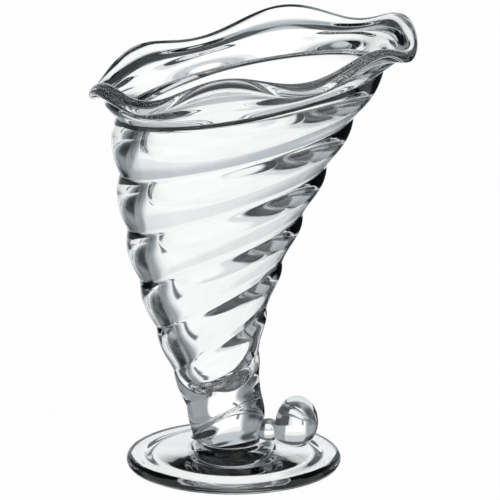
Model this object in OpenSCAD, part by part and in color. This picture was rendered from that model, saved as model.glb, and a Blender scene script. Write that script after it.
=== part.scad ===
// Parfait glass of clear pressed glass: a leaning horn with slanting bands and a ruffled mouth,
// on a solid stem, with a curled tail beside the stem and a round foot below.
// Sizes are in millimetres. The origin is the middle of the foot on the table, +Z is up,
// and the tail points to +X. The glass is alike on both sides of the XZ plane.

/* [Foot] */
// Diameter of the foot
foot_d = 84; // [78:1:100]
// Thickness of the rounded edge of the foot
foot_edge_t = 5; // [4:0.5:6]
// Height of the stem's seat above the table
seat_h = 9.5; // [8:0.5:10]
// Diameter of the stem's seat
seat_d = 27; // [27:0.5:30]
// Diameter of the shoulder at the bottom of the seat's slope
shoulder_d = 33; // [32:0.5:40]
// Rise of the foot's top from its margin to the shoulder
shoulder_rise = 1.2; // [0.6:0.1:1.4]
// Inner diameter of the foot's margin
margin_d = 58; // [54:1:64]
// Rise of the margin from the edge inwards
margin_rise = 1; // [0.2:0.1:1.2]
// Inner diameter of the flat ring that bears on the table
bearing_d = 70; // [64:1:71]
// Depth of the recess inside the bearing ring
recess_h = 1.5; // [0.5:0.25:2.5]
// Width of the slope round the recess
recess_slope_w = 4; // [2:0.5:8]

/* [Stem] */
// Diameter of the stem on its seat
stem_d = 23.5; // [21:0.5:25]
// How far the stem stands behind the middle of the foot
stem_back = 1.5; // [0:0.25:2]
// Swell of the stem between the foot and the waist
stem_swell = 1.5; // [1:0.1:2]

/* [Horn] */
// Height of the waist, where the horn stands on the stem, at the middle of its slope
waist_h = 22; // [21:0.5:26]
// Diameter of the horn at the waist
waist_d = 26.5; // [24:0.5:29]
// Height of the collar groove under the mouth, at the middle of its slope
collar_h = 152; // [130:1:175]
// Diameter of the horn at the collar groove
collar_d = 104.25; // [90:0.25:112]
// How far the horn's hind curve lies behind the middle of the foot
horn_back = 5.75; // [4:0.25:8]
// How far the collar leans forward of that curve
horn_lean = 12.75; // [6:0.25:18]
// Number of bands between the waist and the collar
band_count = 7; // [5:1:9]
// Swell of the top band over the grooves beside it
band_swell = 2.7; // [1:0.1:4]
// Rise of the lowest and the highest groove, from their middle to their high side
groove_rise = 10.4; // [6:0.2:12]
// Added rise of the grooves half way up
groove_lift = 3.2; // [0:0.2:4]
// Thickness of the wall at the collar groove
wall_t = 3; // [2.4:0.2:4.4]
// Thickness of the wall at the grooves beside the cavity's floor
low_wall_t = 4.8; // [3.6:0.2:6]
// Height of the lowest point of the cavity above the table
cavity_h = 30.5; // [30:0.5:45]
// Depth of the cavity's round floor
floor_depth = 12; // [4:0.5:14]

/* [Mouth] */
// Diameter over the lip
lip_d = 124; // [116:0.5:140]
// Height of the mouth from the collar groove to the top of the lip
mouth_h = 15.4; // [12:0.2:20]
// Swell of the bead over the collar groove, below the troughs of the waves
bead_swell = 3.6; // [0.5:0.1:4.4]
// Thickness of the lip, which is rolled outwards
lip_t = 5.8; // [4.4:0.2:6.4]
// How far the lip leans forward of the collar
lip_lean = 0.7; // [0:0.1:3]
// Rise of the lip from its middle to its high side
lip_rise = 10.4; // [6:0.2:14]
// Number of waves round the lip
wave_count = 6; // [4:2:8]
// Height of a wave from its middle to its crest
wave_h = 3; // [0.5:0.1:4]
// Droop of the lip at its two ends
droop_h = 1.9; // [0:0.1:3]

/* [Tail] */
// Height of the tail's middle line above the table
tail_h = 14.7; // [14.2:0.1:16]
// Diameter of the tail's root on the stem
root_d = 7; // [5:0.2:7.6]
// Diameter of the neck at its widest
neck_d = 9; // [8.2:0.1:9.4]
// Length of the neck
neck_l = 6.5; // [6:0.25:11]
// Diameter of the pinch between the neck and the knob
pinch_d = 7.6; // [6:0.2:8]
// Length of the knob along the tail
knob_l = 16.5; // [12:0.25:18]
// Width of the knob
knob_w = 16.5; // [12:0.25:18]
// Height of the knob
knob_h = 20.8; // [14:0.2:21]
// Rise of the knob's middle over the tail's middle line
knob_rise = 4; // [3.6:0.1:5]

/* [Hidden] */

// Points round each ring of the glass, and rings along each stretch of it
ring_count = 60;
band_row_count = 7;
cavity_row_count = 10;
floor_row_count = 6;
mouth_row_count = 10;
lip_row_count = 6;
stem_row_count = 10;
neck_row_count = 8;
knob_row_count = 16;

// Growth of the bands' heights upwards, as a power of the share of the bands that is passed
band_growth_share = 1.2;
// Share of the horn's height at which its hind curve lies furthest back
hind_share = 0.32;
// Share of the straight taper that the narrow lower end of the horn gives up
taper_share = 1.15;
// Shares by which the crest of a band lies higher on the tail's side, at the waist and at the collar
low_crest_share = 1.25;
high_crest_share = -0.2;
// Share of the mouth's height that runs straight up before it flares
flare_share = 0.5;
// Share of the mouth's height that its bead takes up
bead_share = 0.625;
// Share of the bead's swell that is left below the crests of the waves
low_bead_share = 0.25;
// Share of the wall's thickness that the mouth gives up on the way to its lip
thin_share = 0.35;
// Share of the mouth's height over which the wall swells into the lip's roll
roll_share = 0.5;
// Share of the stem's swell that stays in front of the flat face for the tail
face_share = 0.1;
// Share of a quarter or half turn at which a round end is closed flat
closing_share = 0.94;

foot_r = foot_d / 2;
edge_r = foot_edge_t / 2;
edge_x = foot_r - edge_r;
margin_h = foot_edge_t + margin_rise;
bearing_r = bearing_d / 2;
stem_r = stem_d / 2;
waist_r = waist_d / 2;
collar_r = collar_d / 2;
horn_h = collar_h - waist_h;
floor_t = (cavity_h + floor_depth - waist_h) / horn_h;
levelling_t = groove_rise * (1 - low_wall_t / waist_r) / horn_h;
lip_r = lip_t / 2;
tail_x = max(stem_r - stem_back, waist_r + horn_x(0)) + stem_swell * face_share;
knob_x = tail_x + neck_l;

// The horn's middle line, radius and groove rise, from 0 at the waist to 1 at the collar
function horn_z(t) = waist_h + horn_h * t;
function horn_x(t) = horn_lean * pow((t - hind_share) / (1 - hind_share), 2) - horn_back;
function horn_r(t) = waist_r + (collar_r - waist_r) * t * (1 - taper_share * pow(1 - t, 4));
function horn_rise(t) = groove_rise + groove_lift * sin(180 * t);

// A level ring of points round x, or one that rises towards +X
function ring(x, z, r, rise = 0) = [
    for (i = [0 : ring_count - 1])
        let (a = 360 * i / ring_count)
        [x + r * cos(a), r * sin(a), z + rise * cos(a)]
];

// A ring on the outside of the horn, at a share of the way across one band
function band_ring(t, across) = [
    for (i = [0 : ring_count - 1])
        let (a = 360 * i / ring_count)
        let (crest_share = low_crest_share + (high_crest_share - low_crest_share) * t)
        let (place = pow(across, 1 + crest_share * (1 + cos(a)) / 2))
        let (r = horn_r(t) + band_swell * sqrt(t) * sin(180 * place))
        [horn_x(t) + r * cos(a), r * sin(a), horn_z(t) + horn_rise(t) * cos(a)]
];

// A ring on the inside of the horn: depth runs from 0 at the collar, where the ring slopes like the groove,
// to 1 where it is level above the floor. A ring of less width sinks into the round floor.
function cavity_ring(depth, width = 1, sink = 0) =
    let (mid_t = 1 - depth * (1 - floor_t))
    [
        for (i = [0 : ring_count - 1])
            let (a = 360 * i / ring_count)
            let (t = mid_t - depth * levelling_t * cos(a))
            let (r = horn_r(t) - wall_t - (low_wall_t - wall_t) * depth)
            let (aside = horn_x(t) - horn_x(mid_t) + r * cos(a))
            let (above = horn_z(t) - horn_z(mid_t) + horn_rise(t) * r / horn_r(t) * cos(a))
            [horn_x(mid_t) + width * aside, width * r * sin(a), horn_z(mid_t) + width * above - sink]
    ];

// A ring of the mouth: flare runs from 0 at the collar to 1 at the lip's middle,
// and side turns from 0 on the outside over the lip to 180 on the inside
function mouth_ring(flare, side) =
    let (inner_r = collar_r - wall_t / 2)
    let (r_out = lip_d / 2 - lip_r - inner_r)
    let (z_up = mouth_h - lip_r)
    let (lean = (collar_r - waist_r) / horn_h * z_up * flare_share)
    let (r = inner_r + 2 * flare * (1 - flare) * lean + r_out * pow(flare, 2))
    let (z = z_up * (2 * flare * (1 - flare) * flare_share + pow(flare, 2)))
    let (run = lean * (1 - 2 * flare) + r_out * flare)
    let (climb = z_up * (flare_share + flare * (1 - 2 * flare_share)))
    let (half_t = wall_t / 2 * (1 - thin_share * flare))
    let (near = max(0, 1 - (1 - flare) / roll_share))
    let (roll = (lip_r - half_t) * pow(near, 2) * (3 - 2 * near))
    let (easing = pow(flare, 2) * (3 - 2 * flare))
    let (turn = (atan2(climb, run) - 90) * easing)
    let (bead = side == 0 && flare < bead_share ? bead_swell * sin(180 * flare / bead_share) : 0)
    let (plain_r = r + roll * cos(turn) + (half_t + roll) * cos(turn + side))
    let (ring_z = z + roll * sin(turn) + (half_t + roll) * sin(turn + side))
    let (slope = groove_rise / collar_r * (1 - flare) + lip_rise / (lip_d / 2) * flare)
    [
        for (i = [0 : ring_count - 1])
            let (a = 360 * i / ring_count)
            let (wave = -wave_h * cos(wave_count * a) - droop_h * cos(2 * a))
            let (trough = (1 + cos(wave_count * a)) / 2)
            let (ring_r = plain_r + bead * (low_bead_share + (1 - low_bead_share) * trough))
            [
                horn_x(1) + lip_lean * flare + ring_r * cos(a),
                ring_r * sin(a),
                collar_h + ring_z + slope * ring_r * cos(a) + wave * pow(flare, 2)
            ]
    ];

// A ring of the stem, from 0 on its seat to 1 at the waist, flat where the tail is joined on
function stem_ring(s) =
    let (x = (horn_x(0) + stem_back) * s - stem_back)
    let (r = stem_r + (waist_r - stem_r) * s * (2 - s) + stem_swell * pow(sin(180 * s), 2))
    [
        for (p = ring(x, seat_h + (waist_h - seat_h) * s, r, groove_rise * s))
            [min(p.x, tail_x), p.y, p.z]
    ];

// An upright ring of the tail, round a middle at x and z
function tail_ring(x, z, half_w, half_h) = [
    for (i = [0 : ring_count - 1])
        let (a = 360 * i / ring_count)
        [x, half_w * cos(a), z + half_h * sin(a)]
];

// A ring of the neck, from 0 at the root to 1 at the pinch
function neck_ring(s) =
    let (plain_d = root_d + (pinch_d - root_d) * s)
    let (r = (plain_d + (neck_d - (root_d + pinch_d) / 2) * sin(180 * s)) / 2)
    tail_ring(tail_x + neck_l * s, tail_h, r, r);

// A ring of the knob, at an angle from 0 at the pinch to 180 at the tip
function knob_ring(b) =
    let (swell = sin(b))
    let (start = b < 90 ? (1 - swell) * pinch_d / 2 : 0)
    let (lift = b < 90 ? knob_rise * swell : knob_rise)
    tail_ring(
        knob_x + knob_l * (1 - cos(b)) / 2,
        tail_h + lift,
        start + swell * knob_w / 2,
        start + swell * knob_h / 2
    );

// The triangles between two rings
function strip(low, high) = [
    for (i = [0 : ring_count - 1])
        let (a = low * ring_count)
        let (b = high * ring_count)
        let (next = (i + 1) % ring_count)
        each [[a + i, b + i, b + next], [a + i, b + next, a + next]]
];

// A solid inside a row of rings, closed flat at both ends
module capped_solid(rings) {
    last = len(rings) - 1;
    sides = [for (k = [0 : last - 1]) each strip(k, k + 1)];
    first_cap = [for (i = [0 : ring_count - 1]) i];
    last_cap = [for (i = [ring_count - 1 : -1 : 0]) last * ring_count + i];
    polyhedron([for (r = rings) each r], concat(sides, [first_cap, last_cap]), convexity = 8);
}

// A solid inside a row of rings that comes back to its first ring
module looped_solid(rings) {
    count = len(rings);
    sides = [for (k = [0 : count - 1]) each strip(k, (k + 1) % count)];
    polyhedron([for (r = rings) each r], sides, convexity = 8);
}

module foot() {
    profile = [
        [0, recess_h],
        [bearing_r - recess_slope_w, recess_h],
        [bearing_r, 0],
        [edge_x, 0],
        [edge_x, foot_edge_t],
        [margin_d / 2, margin_h],
        [shoulder_d / 2, margin_h + shoulder_rise],
        [seat_d / 2, seat_h],
        [0, seat_h]
    ];
    color("lightcyan")
        rotate_extrude($fn = 120) {
            polygon(profile);
            translate([edge_x, edge_r])
                circle(r = edge_r, $fn = 32);
        }
}

module stem() {
    color("aliceblue")
        capped_solid([for (k = [0 : stem_row_count]) stem_ring(k / stem_row_count)]);
}

module tail_neck() {
    color("azure")
        capped_solid([for (k = [0 : neck_row_count]) neck_ring(k / neck_row_count)]);
}

module tail_knob() {
    color("lightcyan")
        capped_solid([for (k = [0 : knob_row_count]) knob_ring(180 * closing_share * k / knob_row_count)]);
}

module bowl() {
    outside = [
        for (band = [0 : band_count - 1])
            for (k = [0 : band_row_count - 1])
                let (across = k / band_row_count)
                band_ring(pow((band + across) / band_count, band_growth_share), across)
    ];
    walls = [for (k = [0 : cavity_row_count - 1]) cavity_ring(k / cavity_row_count)];
    floor_rows = [
        for (k = [0 : floor_row_count])
            let (b = 90 * closing_share * k / floor_row_count)
            cavity_ring(1, cos(b), floor_depth * sin(b))
    ];
    color("azure")
        capped_solid(concat(outside, [band_ring(1, 0)], walls, floor_rows));
}

module mouth() {
    outside = [for (k = [0 : mouth_row_count - 1]) mouth_ring(k / mouth_row_count, 0)];
    lip = [for (k = [0 : lip_row_count]) mouth_ring(1, 180 * k / lip_row_count)];
    inside = [for (k = [mouth_row_count - 1 : -1 : 0]) mouth_ring(k / mouth_row_count, 180)];
    color("aliceblue")
        looped_solid(concat(outside, lip, inside));
}

foot();
stem();
tail_neck();
tail_knob();
bowl();
mouth();
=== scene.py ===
# A parfait glass of clear pressed glass, dressed in the frame of its CAD model.
# Lengths are in metres, +Z is up and the tail of the glass points to +X.
import math

import bmesh
import bpy
import numpy as np
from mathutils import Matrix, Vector


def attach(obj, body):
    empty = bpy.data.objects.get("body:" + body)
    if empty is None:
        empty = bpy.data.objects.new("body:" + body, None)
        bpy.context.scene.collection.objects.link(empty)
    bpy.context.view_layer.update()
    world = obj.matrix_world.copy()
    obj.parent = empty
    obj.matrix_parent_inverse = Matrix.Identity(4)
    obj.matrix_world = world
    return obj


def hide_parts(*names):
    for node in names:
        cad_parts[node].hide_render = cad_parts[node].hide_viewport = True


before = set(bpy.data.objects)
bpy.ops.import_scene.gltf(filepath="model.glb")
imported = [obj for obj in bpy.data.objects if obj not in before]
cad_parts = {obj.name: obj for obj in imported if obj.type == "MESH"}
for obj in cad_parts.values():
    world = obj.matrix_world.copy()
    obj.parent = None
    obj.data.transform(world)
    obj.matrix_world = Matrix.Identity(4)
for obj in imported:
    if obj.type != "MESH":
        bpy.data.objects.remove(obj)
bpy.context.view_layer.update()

MM = 0.001

# Foot
FOOT_R = 42 * MM
EDGE_R = 2.5 * MM
MARGIN_R = 29 * MM
MARGIN_H = 6 * MM
SHOULDER_R = 16.5 * MM
SHOULDER_H = 7.2 * MM
SEAT_H = 9.5 * MM
BEARING_R = 35 * MM
RECESS_R = 31 * MM
RECESS_H = 1.5 * MM
LOW_CORNER = 1.2 * MM
TOP_CORNER = 0.6 * MM

# Stem
STEM_R = 11.75 * MM
STEM_BACK = 1.5 * MM
STEM_SWELL = 1.5 * MM

# Horn
WAIST_H = 22 * MM
WAIST_R = 13.25 * MM
COLLAR_H = 152 * MM
COLLAR_R = 52.125 * MM
HORN_BACK = 5.75 * MM
HORN_LEAN = 12.75 * MM
HIND = 0.32  # share of the height where the horn lies furthest back
TAPER = 1.15  # share of the straight taper that the narrow lower end gives up
TAPER_POWER = 4
BANDS = 7
BAND_GROWTH = 1.2
BAND_SWELL = 2.7 * MM
GROOVE_ROUND = 0.06  # rounding of a groove, as a share of the swell
LOW_CREST = 1.25  # how far a crest lies higher on the tail's side, at the waist
HIGH_CREST = -0.2  # and at the collar
GROOVE_RISE = 10.4 * MM
GROOVE_LIFT = 3.2 * MM
WALL_T = 3 * MM
LOW_WALL_T = 4.8 * MM
CAVITY_H = 30.5 * MM
FLOOR_ROUND = 12 * MM

# Mouth
LIP_R = 62 * MM
LIP_ROLL = 2.9 * MM
LIP_THIN = 0.35  # share of the wall's thickness that is lost on the way to the lip
ROLL_SPAN = 0.5  # share of the mouth's height over which the wall swells into the roll
MOUTH_H = 15.4 * MM
FLARE_START = 0.5  # share of the mouth's height that runs straight up before it flares
LIP_LEAN = 0.7 * MM
LIP_RISE = 10.4 * MM
WAVES = 6
WAVE_H = 3 * MM
BEAD_SWELL = 3.6 * MM
BEAD_LOW = 0.25  # share of the bead's swell that is left below the crests of the waves
BEAD_TOP = 0.625  # share of the mouth's height that the bead takes up
DROOP_H = 1.9 * MM

# Tail
FACE_DEPTH = 0.1  # place of the stem's flat face, as a share of the stem's swell
TAIL_H = 14.7 * MM
ROOT_D = 7 * MM
NECK_D = 9 * MM
NECK_L = 6.5 * MM
PINCH_D = 7.6 * MM
KNOB_L = 16.5 * MM
KNOB_W = 16.5 * MM
KNOB_H = 20.8 * MM
KNOB_RISE = 4 * MM

# How finely the pieces are drawn
ROUND = 480
TURN = np.arange(ROUND) * 2 * math.pi / ROUND
BAND_ROWS = 18
CAVITY_ROWS = 32
HOLLOW_ROWS = 16
MOUTH_ROWS = 50
ROLL_ROWS = 36
STEM_ROWS = 30
NECK_ROWS = 24
KNOB_ROWS = 40
CORNER_ROWS = 6
ROW_STEP = 1.2 * MM

# Glass: how it bends light, its faint tint, and the ripple and haze of its skin
GLASS_IOR = 1.52
TINTED = (0.985, 0.99, 0.99, 1)
CLEAREST = (0.997, 1.0, 0.999, 1)
RIPPLE_SCALE = 60.0
RIPPLE_DETAIL = 1.0
RIPPLE_H = 0.3 * MM
RIPPLE_STRENGTH = 0.2
HAZE_SCALE = 25.0
HAZE_DETAIL = 3.0
HAZE_ROUGHNESS = 0.02

# Places of the two finishes in the list of materials of each piece
GLASS, WELD = 0, 1

# Camera
VIEW_TURN = math.radians(10.861)
VIEW_DROP = math.radians(15.812)
VIEW_RIGHT = (math.cos(VIEW_TURN), math.sin(VIEW_TURN), 0)
VIEW_AHEAD = (-math.sin(VIEW_TURN), math.cos(VIEW_TURN), 0)
UP = (0, 0, 1)
VIEW_ASIDE = 6.43 * MM
VIEW_H = 86.97 * MM
VIEW_AWAY = 2.5
LENS_MM = 463.2
SENSOR_MM = 36.0

# Table: its colour, and how far it fades into the white room before the camera
TABLE_R = 4.0
TABLE_DROP = 0.1 * MM
TABLE_COLOUR = (0.86, 0.86, 0.86, 1)
TABLE_FADE = 0.98
WHITE = (1, 1, 1, 1)

# Studio: the light of its white walls, the cool tint of the darkest cards, and the cards. Each
# card has its span from left to right of the way that the camera looks, its span over the
# horizon and the softness of its edges, all in degrees, and its light. Later cards hang in
# front of earlier ones.
WALL_LIGHT = 1.05
CARD_TINT = (0.84, 1.0, 1.11, 1)
CARDS = [
    ((-190, 190), (-100, -43), 2, 0.03),
    ((-190, 190), (62, 100), 6, 0.4),
    ((-190, -68), (-60, -38), 5, 0.1),
    ((72, 190), (-60, -38), 5, 0.1),
    ((-190, -68), (-38, 62), 5, 0.85),
    ((72, 190), (-38, 62), 5, 0.85),
    ((-68, -19), (-60, 40), 4, 0.32),
    ((14, 72), (-60, 40), 2, 0.32),
    ((-19, 14), (-3, 40), 1, 0.9),
    ((-24, 14), (4, 45), 2, 0.6),
    ((-62, -27), (-44, -12), 5, 0.03),
    ((-52, -21), (11, 33), 4, 0.05),
    ((-14.5, -11.5), (-30, -13), 1, 0.12),
    ((-90, 90), (22, 62), 4, 0.05),
    ((5, 10), (-32, -13), 0.8, 0.8),
    ((10, 64), (-62, -13), 1.2, 0.02),
    ((29, 58), (-42, -25), 1.5, 0.38),
]

# How often light may turn inside the glass, mirror on its skin and pass the welds
GLASS_BOUNCES = 64
MIRROR_BOUNCES = 6
WELD_BOUNCES = 16

# Places of a Mix node's colour sockets, whose names it has more than once
MIX_SHARE, MIX_FIRST, MIX_SECOND, MIX_RESULT = 0, 6, 7, 2


class Wire:
    """A socket of a shader tree. Sums and products of wires add Math nodes to the tree."""

    def __init__(self, tree, socket=None):
        self.tree = tree
        self.socket = socket

    def make(self, kind, settings=None, sockets=None, output=0):
        """Make a node of any kind: first its settings, then the values or links of its sockets."""
        node = self.tree.nodes.new(kind)
        for name, value in (settings or {}).items():
            setattr(node, name, value)
        for name, value in (sockets or {}).items():
            if isinstance(value, Wire):
                self.tree.links.new(value.socket, node.inputs[name])
            else:
                node.inputs[name].default_value = value
        return Wire(self.tree, node.outputs[output] if len(node.outputs) else None)

    def math(self, operation, *values):
        return self.make("ShaderNodeMath", {"operation": operation}, dict(enumerate(values)))

    def __add__(self, other):
        return self.math("ADD", self, other)

    def __radd__(self, other):
        return self.math("ADD", other, self)

    def __sub__(self, other):
        return self.math("SUBTRACT", self, other)

    def __rsub__(self, other):
        return self.math("SUBTRACT", other, self)

    def __mul__(self, other):
        return self.math("MULTIPLY", self, other)

    def __rmul__(self, other):
        return self.math("MULTIPLY", other, self)


def open_tree(owner):
    """The empty node tree of a material or the world."""
    owner.use_nodes = True
    owner.node_tree.nodes.clear()
    return Wire(owner.node_tree)


def blotches(place, scale, detail):
    """Soft random values over a piece."""
    sockets = {"Vector": place, "Scale": scale, "Detail": detail}
    return place.make("ShaderNodeTexNoise", sockets=sockets, output="Fac")


def mixed_colour(share, first, second):
    """The first colour where a share is 0, and the second where it is 1."""
    sockets = {MIX_SHARE: share, MIX_FIRST: first, MIX_SECOND: second}
    return share.make("ShaderNodeMix", {"data_type": "RGBA"}, sockets, MIX_RESULT)


def mixed_shader(share, first, second):
    """The first shader where a share is 0, and the second where it is 1."""
    sockets = dict(enumerate((share, first, second)))
    return share.make("ShaderNodeMixShader", sockets=sockets)


def clear_glass():
    """Fire-polished pressed glass, with the soft ripple that the mould leaves in it."""
    material = bpy.data.materials.new("clear_glass")
    tree = open_tree(material)
    place = tree.make("ShaderNodeTexCoord", output="Object")
    ripple = blotches(place, RIPPLE_SCALE, RIPPLE_DETAIL)
    haze = blotches(place, HAZE_SCALE, HAZE_DETAIL)
    relief = {"Strength": RIPPLE_STRENGTH, "Distance": RIPPLE_H, "Height": ripple}
    shader = tree.make("ShaderNodeBsdfPrincipled", sockets={
        "Base Color": mixed_colour(haze, TINTED, CLEAREST),
        "Roughness": haze * HAZE_ROUGHNESS,
        "IOR": GLASS_IOR,
        "Transmission Weight": 1.0,
        "Normal": tree.make("ShaderNodeBump", sockets=relief, output="Normal"),
    })
    tree.make("ShaderNodeOutputMaterial", sockets={"Surface": shader})
    return material


def melted_weld():
    """A face where two gathers of glass have melted into one, so that nothing shows there."""
    material = bpy.data.materials.new("melted_weld")
    tree = open_tree(material)
    shader = tree.make("ShaderNodeBsdfPrincipled", sockets={"Alpha": 0.0})
    tree.make("ShaderNodeOutputMaterial", sockets={"Surface": shader})
    return material


def white_table():
    """A white table top that fades into the white room behind it and keeps a faint shadow."""
    material = bpy.data.materials.new("white_table")
    tree = open_tree(material)
    camera, glossy, through = (
        tree.make("ShaderNodeLightPath", output=f"Is {ray} Ray")
        for ray in ("Camera", "Glossy", "Transmission")
    )
    matt = tree.make("ShaderNodeBsdfDiffuse", sockets={"Color": TABLE_COLOUR})
    white = tree.make("ShaderNodeEmission", sockets={"Color": WHITE, "Strength": 1.0})
    shader = mixed_shader(camera * TABLE_FADE + glossy + through, matt, white)
    tree.make("ShaderNodeOutputMaterial", sockets={"Surface": shader})
    return material


def inside(value, low, high, soft):
    """1 where a value lies between two limits, with soft edges."""
    past_low, past_high = (
        value.make(
            "ShaderNodeMapRange",
            {"interpolation_type": "SMOOTHSTEP"},
            {"Value": value, "From Min": limit - soft, "From Max": limit + soft},
        )
        for limit in (low, high)
    )
    return past_low - past_high


def studio_room():
    """A white studio with grey and black cards round the way that the camera looks."""
    world = bpy.data.worlds.new("studio_room")
    bpy.context.scene.world = world
    tree = open_tree(world)
    way = tree.make("ShaderNodeTexCoord", output="Generated")
    right, ahead, up = (
        tree.make("ShaderNodeVectorMath", {"operation": "DOT_PRODUCT"}, {0: way, 1: axis}, "Value")
        for axis in (VIEW_RIGHT, VIEW_AHEAD, UP)
    )
    azimuth = tree.math("ARCTAN2", right, ahead) * math.degrees(1)
    height = tree.math("ARCSINE", up) * math.degrees(1)
    light = WALL_LIGHT
    for (first, last), (low, high), soft, card in CARDS:
        mask = inside(azimuth, first, last, soft) * inside(height, low, high, soft)
        light = light + (card - light) * mask
    tint = mixed_colour(light, CARD_TINT, WHITE)
    colour = tree.make(
        "ShaderNodeVectorMath", {"operation": "SCALE"}, {0: tint, "Scale": light}, "Vector"
    )
    room = tree.make("ShaderNodeBackground", sockets={"Color": colour, "Strength": 1.0})
    white = tree.make("ShaderNodeBackground", sockets={"Color": WHITE, "Strength": 1.0})
    camera = tree.make("ShaderNodeLightPath", output="Is Camera Ray")
    shader = mixed_shader(camera, room, white)
    tree.make("ShaderNodeOutputWorld", sockets={"Surface": shader})


def camera_view():
    """The camera, at the photograph's angle."""
    level = Vector(VIEW_AHEAD) * math.cos(VIEW_DROP)
    back = Vector(UP) * math.sin(VIEW_DROP) - level
    target = Vector(VIEW_RIGHT) * VIEW_ASIDE + Vector(UP) * VIEW_H
    data = bpy.data.cameras.new("camera")
    data.lens = LENS_MM
    data.sensor_width = SENSOR_MM
    camera = bpy.data.objects.new("camera", data)
    camera.location = target + back * VIEW_AWAY
    camera.rotation_euler = back.to_track_quat("Z", "Y").to_euler()
    bpy.context.scene.collection.objects.link(camera)
    bpy.context.scene.camera = camera


def table_top():
    """The table, round and wide enough to fill the view."""
    mesh = bpy.data.meshes.new("table")
    edge = [(TABLE_R * math.cos(a), TABLE_R * math.sin(a), -TABLE_DROP) for a in TURN]
    mesh.from_pydata(edge, [], [range(ROUND)])
    mesh.materials.append(white_table())
    table = bpy.data.objects.new("table", mesh)
    # The glass looks past the table at the studio's wall and cards, so the glossy and the
    # through rays in the table's finish have no effect while these two settings are off.
    table.visible_transmission = False
    table.visible_glossy = False
    bpy.context.scene.collection.objects.link(table)


def smooth(share):
    """An S-shaped way from 0 to 1."""
    return share ** 2 * (3 - 2 * share)


def bent(share, middle, end):
    """A bent way from 0 to an end, which sets out towards a middle."""
    return 2 * share * (1 - share) * middle + share ** 2 * end


def bent_slope(share, middle, end):
    """Half the slope of a bent way."""
    return (1 - 2 * share) * middle + share * end


def spaced(count, last=1.0):
    """Even shares from 0 to the last one."""
    return [last * k / count for k in range(count + 1)]


def eased(count):
    """Shares from 0 to 1 that lie close together at both ends."""
    return [(1 - math.cos(b)) / 2 for b in spaced(count, math.pi)]


def horn_z(t):
    """The height of the horn's middle line, from 0 at the waist to 1 at the collar."""
    return WAIST_H + (COLLAR_H - WAIST_H) * t


def horn_x(t):
    return HORN_LEAN * ((t - HIND) / (1 - HIND)) ** 2 - HORN_BACK


def horn_r(t):
    return WAIST_R + (COLLAR_R - WAIST_R) * t * (1 - TAPER * (1 - t) ** TAPER_POWER)


def horn_rise(t):
    """How far a groove rises from its middle to its high side."""
    return GROOVE_RISE + GROOVE_LIFT * np.sin(math.pi * t)


def ring(x, z, r, rise=0.0):
    """A ring of points round x that rises towards +X. Its radius may change round it."""
    return np.stack([x + r * np.cos(TURN), r * np.sin(TURN), z + rise * np.cos(TURN)], axis=1)


def band_ring(t, across):
    """A ring on the outside of the horn, at a share of the way across one band."""
    crest = LOW_CREST + (HIGH_CREST - LOW_CREST) * t
    place = across ** (1 + crest * (1 + np.cos(TURN)) / 2)
    bulge = np.hypot(np.sin(math.pi * place), GROOVE_ROUND) - GROOVE_ROUND
    swell = BAND_SWELL * math.sqrt(t) * bulge
    return ring(horn_x(t), horn_z(t), horn_r(t) + swell, horn_rise(t))


def cavity_ring(depth, width=1.0, sink=0.0):
    """A ring on the inside of the horn. Depth goes from 0 at the collar, where the ring slopes
    like the groove, to 1 where it is level over the floor. A ring of less width sinks into the
    round floor."""
    floor_t = (CAVITY_H + FLOOR_ROUND - WAIST_H) / (COLLAR_H - WAIST_H)
    levelling = GROOVE_RISE * (1 - LOW_WALL_T / WAIST_R) / (COLLAR_H - WAIST_H)
    middle = 1 - depth * (1 - floor_t)
    t = middle - depth * levelling * np.cos(TURN)
    r = horn_r(t) - WALL_T - (LOW_WALL_T - WALL_T) * depth
    aside = horn_x(t) - horn_x(middle) + r * np.cos(TURN)
    above = horn_z(t) - horn_z(middle) + horn_rise(t) * r / horn_r(t) * np.cos(TURN)
    return np.stack([
        horn_x(middle) + width * aside,
        width * r * np.sin(TURN),
        horn_z(middle) + width * above - sink,
    ], axis=1)


def mouth_ring(flare, side):
    """A ring of the mouth. Flare goes from 0 at the collar to 1 at the lip, and side is an angle
    that turns over the lip, from 0 on the outside to half a turn on the inside."""
    start_r = COLLAR_R - WALL_T / 2
    out = LIP_R - LIP_ROLL - start_r
    up = MOUTH_H - LIP_ROLL
    straight = up * FLARE_START
    lean = (COLLAR_R - WAIST_R) / (COLLAR_H - WAIST_H) * straight
    r = start_r + bent(flare, lean, out)
    z = bent(flare, straight, up)
    slant = math.atan2(bent_slope(flare, straight, up), bent_slope(flare, lean, out))
    turn = (slant - math.pi / 2) * smooth(flare)
    sheet = WALL_T / 2 * (1 - LIP_THIN * flare)
    roll = (LIP_ROLL - sheet) * smooth(max(0, 1 - (1 - flare) / ROLL_SPAN))
    bead = 0.0
    if side == 0 and flare < BEAD_TOP:
        trough = (1 + np.cos(WAVES * TURN)) / 2
        strength = BEAD_LOW + (1 - BEAD_LOW) * trough
        bead = BEAD_SWELL * math.sin(math.pi * flare / BEAD_TOP) * strength
    ring_r = r + roll * math.cos(turn) + (sheet + roll) * math.cos(turn + side) + bead
    ring_z = z + roll * math.sin(turn) + (sheet + roll) * math.sin(turn + side)
    slope = GROOVE_RISE / COLLAR_R * (1 - flare) + LIP_RISE / LIP_R * flare
    points = ring(horn_x(1) + LIP_LEAN * flare, COLLAR_H + ring_z, ring_r, slope * ring_r)
    points[:, 2] -= (WAVE_H * np.cos(WAVES * TURN) + DROOP_H * np.cos(2 * TURN)) * flare ** 2
    return points


def stem_ring(s):
    """A ring of the stem, from 0 on its seat to 1 at the waist."""
    x = (horn_x(0) + STEM_BACK) * s - STEM_BACK
    r = STEM_R + (WAIST_R - STEM_R) * s * (2 - s) + STEM_SWELL * math.sin(math.pi * s) ** 2
    return ring(x, SEAT_H + (WAIST_H - SEAT_H) * s, r, GROOVE_RISE * s)


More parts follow.
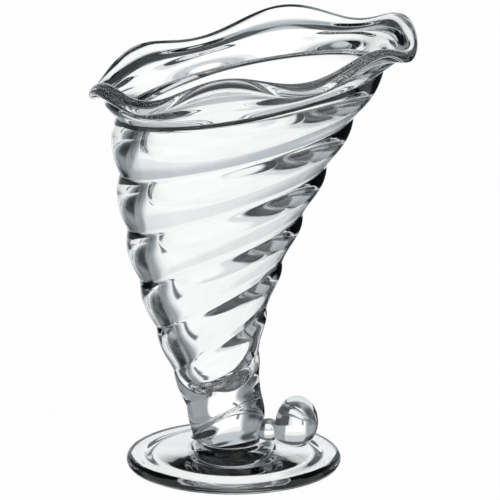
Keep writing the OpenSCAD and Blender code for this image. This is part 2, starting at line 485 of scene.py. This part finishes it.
def tail_x():
    """The stem's flat face, on which the tail is joined."""
    return max(STEM_R - STEM_BACK, WAIST_R + horn_x(0)) + STEM_SWELL * FACE_DEPTH


def tail_ring(x, z, half_w, half_h):
    """An upright ring of the tail, round a middle at x and z."""
    return np.stack([np.full(ROUND, x), half_w * np.cos(TURN), z + half_h * np.sin(TURN)], axis=1)


def neck_ring(s):
    """A ring of the neck, from 0 at the root to 1 at the pinch."""
    plain = ROOT_D + (PINCH_D - ROOT_D) * s
    r = (plain + (NECK_D - (ROOT_D + PINCH_D) / 2) * math.sin(math.pi * s)) / 2
    return tail_ring(tail_x() + NECK_L * s, TAIL_H, r, r)


def knob_ring(s):
    """A ring of the knob, from 0 at the pinch over its widest half way to 1 at the tip."""
    swell = math.sin(math.pi * s)
    widening = s < 0.5
    start = (1 - swell) * PINCH_D / 2 if widening else 0.0
    lift = KNOB_RISE * swell if widening else KNOB_RISE
    x = tail_x() + NECK_L + KNOB_L * (1 - math.cos(math.pi * s)) / 2
    return tail_ring(x, TAIL_H + lift, start + swell * KNOB_W / 2, start + swell * KNOB_H / 2)


def rounded(corners, size):
    """The outline through some corners, each rounded over the same length."""
    corners = [np.array(c) for c in corners]
    outline = [corners[0]]
    for before, corner, after in zip(corners, corners[1:], corners[2:]):
        start = corner + (before - corner) / np.linalg.norm(before - corner) * size
        end = corner + (after - corner) / np.linalg.norm(after - corner) * size
        outline += [start + bent(s, corner - start, end - start) for s in spaced(CORNER_ROWS)]
    outline.append(corners[-1])
    return outline


def stepped(outline):
    """The same outline with more points along its straight runs."""
    points = [outline[0]]
    for start, end in zip(outline, outline[1:]):
        steps = max(1, round(np.linalg.norm(end - start) / ROW_STEP))
        points += [start + (end - start) * s for s in spaced(steps)[1:]]
    return points


def glass_piece(name, rows, start, end, welds=()):
    """A closed piece of glass through rows of points. Each end comes to a point, is welded flat
    on the next piece, or runs round to the other end. Strips between rows can be welds too."""
    count = len(rows)
    points = [p for row in rows for p in row]
    faces = []
    finish = []
    strips = count if start == "round" else count - 1
    for k in range(strips):
        low, high = k * ROUND, (k + 1) % count * ROUND
        for i in range(ROUND):
            j = (i + 1) % ROUND
            faces.append((low + i, low + j, high + j, high + i))
        finish += [WELD if k in welds else GLASS] * ROUND
    for kind, base, turned in ((start, 0, True), (end, (count - 1) * ROUND, False)):
        edge = [base + i for i in range(ROUND)]
        if turned:
            edge.reverse()
        if kind == "weld":
            faces.append(edge)
            finish.append(WELD)
        if kind == "point":
            points.append(np.mean(points[base:base + ROUND], axis=0))
            faces += [(edge[i - 1], edge[i], len(points) - 1) for i in range(ROUND)]
            finish += [GLASS] * ROUND
    mesh = bpy.data.meshes.new(name)
    mesh.from_pydata([tuple(p) for p in points], [], faces)
    mesh.polygons.foreach_set("material_index", finish)
    piece = bpy.data.objects.new(name, mesh)
    bpy.context.scene.collection.objects.link(piece)
    return piece


def cut_away(piece, other):
    """The mesh of a piece, less another piece. The cut is a weld."""
    tool = other.copy()
    tool.data = other.data.copy()
    tool.data.polygons.foreach_set("material_index", [WELD] * len(tool.data.polygons))
    bpy.context.scene.collection.objects.link(tool)
    cut = piece.modifiers.new("cut", "BOOLEAN")
    cut.operation = "DIFFERENCE"
    cut.solver = "EXACT"
    cut.material_mode = "INDEX"
    cut.object = tool
    view = bpy.context.evaluated_depsgraph_get()
    mesh = bpy.data.meshes.new_from_object(piece.evaluated_get(view))
    piece.modifiers.remove(cut)
    bpy.data.objects.remove(tool)
    return mesh


def polish(mesh, finishes):
    """Smooth glass with a crisp edge round each weld."""
    mesh.materials.clear()
    for finish in finishes:
        mesh.materials.append(finish)
    form = bmesh.new()
    form.from_mesh(mesh)
    for face in form.faces:
        face.smooth = True
    for edge in form.edges:
        edge.smooth = len({face.material_index for face in edge.link_faces}) == 1
    form.to_mesh(mesh)
    form.free()


def foot():
    """The round foot, from the middle of its recess over the edge to the stem's seat."""
    edge_x = FOOT_R - EDGE_R
    below = rounded(
        [(0, RECESS_H), (RECESS_R, RECESS_H), (BEARING_R, 0), (edge_x, 0)],
        LOW_CORNER,
    )
    edge = [
        np.array([edge_x + EDGE_R * math.sin(a), EDGE_R - EDGE_R * math.cos(a)])
        for a in spaced(ROLL_ROWS, math.pi)[1:-1]
    ]
    margin = [(edge_x, 2 * EDGE_R), (MARGIN_R, MARGIN_H)]
    shoulder = [(SHOULDER_R, SHOULDER_H), (STEM_R + STEM_BACK, SEAT_H)]
    above = rounded(margin + shoulder, TOP_CORNER)
    outline = stepped(below) + edge + stepped(above)
    rows = [ring(0, z, r) for r, z in outline[1:]]
    return glass_piece("glass_foot", rows + [stem_ring(0)], "point", "weld")


def stem():
    rows = [stem_ring(s) for s in spaced(STEM_ROWS)]
    return glass_piece("glass_stem", rows, "weld", "weld")


def tail_neck():
    rows = [neck_ring(s) for s in spaced(NECK_ROWS)]
    return glass_piece("glass_tail_neck", rows, "weld", "weld")


def tail_knob():
    rows = [knob_ring(s) for s in spaced(KNOB_ROWS)[:-1]]
    return glass_piece("glass_tail_knob", rows, "weld", "point")


def bowl():
    """The banded horn, up its outside to the collar and down into its cavity."""
    outside = [
        band_ring(((band + across) / BANDS) ** BAND_GROWTH, across)
        for band in range(BANDS)
        for across in eased(BAND_ROWS)[:-1]
    ]
    outside.append(band_ring(1, 0))
    walls = [cavity_ring(depth) for depth in spaced(CAVITY_ROWS)[:-1]]
    hollow = [
        cavity_ring(1, math.cos(b), FLOOR_ROUND * math.sin(b))
        for b in spaced(HOLLOW_ROWS, math.pi / 2)[:-1]
    ]
    collar = len(outside) - 1
    return glass_piece("glass_bowl", outside + walls + hollow, "weld", "point", {collar})


def mouth():
    """The flared mouth, up its outside, over the rolled lip and down its inside."""
    outside = [mouth_ring(f, 0) for f in spaced(MOUTH_ROWS)[:-1]]
    roll = [mouth_ring(1, side) for side in spaced(ROLL_ROWS, math.pi)]
    inner = [mouth_ring(1 - f, math.pi) for f in spaced(MOUTH_ROWS)[1:]]
    rows = outside + roll + inner
    collar = len(rows) - 1
    return glass_piece("glass_mouth", rows, "round", "round", {collar})


camera_view()
studio_room()
table_top()

pieces = {
    "foot": foot(),
    "stem": stem(),
    "tail_neck": tail_neck(),
    "tail_knob": tail_knob(),
    "bowl": bowl(),
    "mouth": mouth(),
}
welded = {
    "stem": cut_away(pieces["stem"], pieces["tail_neck"]),
    "tail_neck": cut_away(pieces["tail_neck"], pieces["stem"]),
}
for node, mesh in welded.items():
    pieces[node].data = mesh
finishes = [clear_glass(), melted_weld()]
for node, piece in pieces.items():
    polish(piece.data, finishes)
    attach(piece, "root")
    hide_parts(node)

scene = bpy.context.scene
scene.view_settings.view_transform = "Standard"
scene.cycles.max_bounces = GLASS_BOUNCES
scene.cycles.transmission_bounces = GLASS_BOUNCES
scene.cycles.glossy_bounces = MIRROR_BOUNCES
scene.cycles.transparent_max_bounces = WELD_BOUNCES
